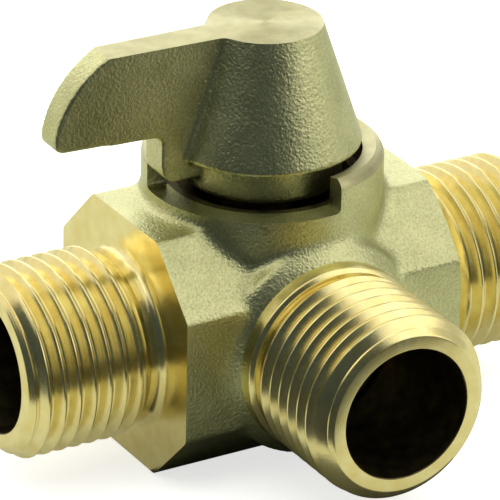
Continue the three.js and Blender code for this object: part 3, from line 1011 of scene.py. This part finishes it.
def make_floor(settings):
    """A white floor, and just above it the greyer sheets that only reflections see: a pale floor, a dark
    card across the front and a sheet of painted shade close under the front port."""
    far = settings.floor_width / 2
    low, high = (-far, -far), (far, far)
    edge, heading = -settings.front_edge, settings.front_heading
    level = -0.02 * MM
    # A sheet of painted shade, under the front port where the floor lies in the valve's shadow.
    shade_low, shade_high = (-19 * MM, -34 * MM), (13 * MM, -6 * MM)
    floor = floor_sheet("floor", settings.floor_colour, 0.92, low, high, -0.05 * MM)
    floor.visible_glossy = False
    sheets = (
        floor_sheet("reflected_floor", settings.reflected_colour, 0.5, (-far, edge), high, level, heading),
        floor_sheet("reflected_card", settings.card_colour, 0.0, low, (far, edge), level, heading),
        floor_sheet("reflected_shade", settings.shade_colour, 0.0, shade_low, shade_high, level / 2),
    )
    for sheet in sheets:
        sheet.visible_camera = False
        sheet.visible_diffuse = False
        sheet.visible_shadow = False


def softbox(name, azimuth, elevation, width, height, radiance, tint, distance):
    """A soft panel light, aimed at the valve. Azimuth 0 is behind the valve, 90 to its right."""
    light = bpy.data.lights.new(name, "AREA")
    light.shape = "RECTANGLE"
    light.size, light.size_y = width, height
    light.energy = radiance * pi * width * height
    light.color = linear(tint)[:3]
    lamp = bpy.data.objects.new(name, light)
    bpy.context.scene.collection.objects.link(lamp)
    a, e = radians(azimuth), radians(elevation)
    towards = Vector((sin(a) * cos(e), cos(a) * cos(e), sin(e)))
    turned = towards.to_track_quat("Z", "Y").to_matrix().to_4x4()
    lamp.matrix_world = Matrix.Translation(towards * distance + Vector((0, 0, AXIS_HEIGHT))) @ turned
    lamp.visible_camera = False
    return lamp


def make_room(settings):
    """The room that the metal reflects: dim on the left, with a pale wall on the right."""
    world = bpy.data.worlds.new("room")
    world.use_nodes = True
    tree = world.node_tree
    facing = add(tree, "TexCoord").outputs["Generated"]
    azimuth = settings.wall_azimuth
    wall = (sin(azimuth), cos(azimuth), 0)
    share = add(tree, "VectorMath", {"operation": "DOT_PRODUCT"}, {0: wall}, {1: facing})
    share = between(tree, share.outputs["Value"], 0.0, 1.0)
    tone = ramp(tree, share, 0.0, 0.3, settings.room_colour, settings.wall_colour)
    tree.links.new(tone, tree.nodes["Background"].inputs["Color"])
    bpy.context.scene.world = world


def make_camera(settings):
    """A long lens at the front left, looking down on the valve."""
    azimuth, elevation, roll = radians(30.75), radians(25.39), radians(1.2)
    place = Vector((-239.05, -399.60, 227.14)) * MM + Vector((0, 0, AXIS_HEIGHT))
    back = Vector((-sin(azimuth) * cos(elevation), -cos(azimuth) * cos(elevation), sin(elevation)))
    right = (-back).cross(ALONG_Z).normalized()
    up = right.cross(-back)
    across = right * cos(roll) + up * sin(roll)
    upright = up * cos(roll) - right * sin(roll)
    data = bpy.data.cameras.new("camera")
    data.lens = settings.focal_length
    data.sensor_width = 36
    data.clip_start = 0.01
    camera = bpy.data.objects.new("camera", data)
    bpy.context.scene.collection.objects.link(camera)
    turned = Matrix((across, upright, back)).transposed().to_4x4()
    camera.matrix_world = Matrix.Translation(place) @ turned
    bpy.context.scene.camera = camera


def make_stage(scene):
    """Sets the floor, room, lights and camera."""
    settings = scene.valve_stage
    make_floor(settings)
    make_room(settings)
    for name, *light in SOFTBOXES:
        softbox("softbox_" + name, *light, settings.light_distance)
    overhead = softbox("floor_light", 0, 90, 1.6, 1.6, 1.2, "#FFFFFF", 1.2)
    overhead.visible_glossy = False
    make_camera(settings)
    scene.view_settings.view_transform = "Standard"


# --- operators

class Undoable:
    """Lets every operator be undone, and redone with other settings."""
    bl_options = {"REGISTER", "UNDO"}


class MakeStage(Undoable, bpy.types.Operator):
    """Sets the floor, softboxes, room and camera"""
    bl_idname = "valve.make_stage"
    bl_label = "Stage"

    def execute(self, context):
        make_stage(context.scene)
        return {"FINISHED"}


class MakeBrass(Undoable, bpy.types.Operator):
    """Makes the forged, turned, faced and drilled finishes that the brass pieces share"""
    bl_idname = "valve.make_brass"
    bl_label = "Brass Finishes"

    def execute(self, context):
        make_brass(context.scene)
        return {"FINISHED"}


class MakeBody(Undoable, bpy.types.Operator):
    """Forges the body, and turns its flanges, collar, bores and threads"""
    bl_idname = "valve.make_body"
    bl_label = "Body"

    def execute(self, context):
        make_body(context.scene)
        return {"FINISHED"}


class MakeHandle(Undoable, bpy.types.Operator):
    """Casts the cone and wing handle and faces its top"""
    bl_idname = "valve.make_handle"
    bl_label = "Handle"

    def execute(self, context):
        make_handle(context.scene)
        return {"FINISHED"}


class MakeSetScrew(Undoable, bpy.types.Operator):
    """Makes the screw that keeps the handle on the stem"""
    bl_idname = "valve.make_set_screw"
    bl_label = "Set Screw"

    def execute(self, context):
        make_set_screw(context.scene)
        return {"FINISHED"}


class MakeStem(Undoable, bpy.types.Operator):
    """Turns the stem with its flange, grooves and tang"""
    bl_idname = "valve.make_stem"
    bl_label = "Stem"

    def execute(self, context):
        make_stem(context.scene)
        return {"FINISHED"}


class MakeStemSeals(Undoable, bpy.types.Operator):
    """Makes the thrust washer and the two O-rings"""
    bl_idname = "valve.make_stem_seals"
    bl_label = "Stem Seals"

    def execute(self, context):
        make_stem_seals(context.scene)
        return {"FINISHED"}


class MakeBall(Undoable, bpy.types.Operator):
    """Makes the L-bored ball"""
    bl_idname = "valve.make_ball"
    bl_label = "Ball"

    def execute(self, context):
        make_ball(context.scene)
        return {"FINISHED"}


class MakeSeats(Undoable, bpy.types.Operator):
    """Makes the four PTFE seats"""
    bl_idname = "valve.make_seats"
    bl_label = "Seats"

    def execute(self, context):
        make_seats(context.scene)
        return {"FINISHED"}


class MakeBackingRings(Undoable, bpy.types.Operator):
    """Makes the rubber rings behind three of the seats"""
    bl_idname = "valve.make_backing_rings"
    bl_label = "Backing Rings"

    def execute(self, context):
        make_backing_rings(context.scene)
        return {"FINISHED"}


class MakeRetainers(Undoable, bpy.types.Operator):
    """Makes the slotted retainers that hold the seats"""
    bl_idname = "valve.make_retainers"
    bl_label = "Retainers"

    def execute(self, context):
        make_retainers(context.scene)
        return {"FINISHED"}


OPERATORS = (MakeStage, MakeBrass, MakeBody, MakeHandle, MakeSetScrew, MakeStem, MakeStemSeals,
             MakeBall, MakeSeats, MakeBackingRings, MakeRetainers)
SETTINGS = {"valve_body": BodySizes, "valve_threads": ThreadSizes, "valve_handle": HandleSizes,
            "valve_inner": InnerSizes, "valve_stem": StemSizes, "valve_finishes": Finishes,
            "valve_stage": StageSettings}


class ValvePanel(bpy.types.Panel):
    """Lists the makers and the settings in the sidebar"""
    bl_idname = "VIEW3D_PT_valve"
    bl_label = "Three Way Valve"
    bl_space_type = "VIEW_3D"
    bl_region_type = "UI"
    bl_category = "Valve"

    def draw(self, context):
        for operator in OPERATORS:
            self.layout.operator(operator.bl_idname)
        for name, group in SETTINGS.items():
            box = self.layout.box()
            for setting in group.__annotations__:
                box.prop(getattr(context.scene, name), setting)


def register():
    """Adds the settings, the operators and the panel."""
    for group in SETTINGS.values():
        bpy.utils.register_class(group)
    for name, group in SETTINGS.items():
        setattr(bpy.types.Scene, name, PointerProperty(type=group))
    for operator in OPERATORS:
        bpy.utils.register_class(operator)
    bpy.utils.register_class(ValvePanel)


def unregister():
    """Takes them away again, in the opposite order."""
    bpy.utils.unregister_class(ValvePanel)
    for operator in reversed(OPERATORS):
        bpy.utils.unregister_class(operator)
    for name, group in SETTINGS.items():
        delattr(bpy.types.Scene, name)
        bpy.utils.unregister_class(group)


def main():
    """Makes the whole valve on its stage."""
    register()
    for operator in OPERATORS:
        group, name = operator.bl_idname.split(".")
        getattr(getattr(bpy.ops, group), name)()


if __name__ == "__main__":
    main()
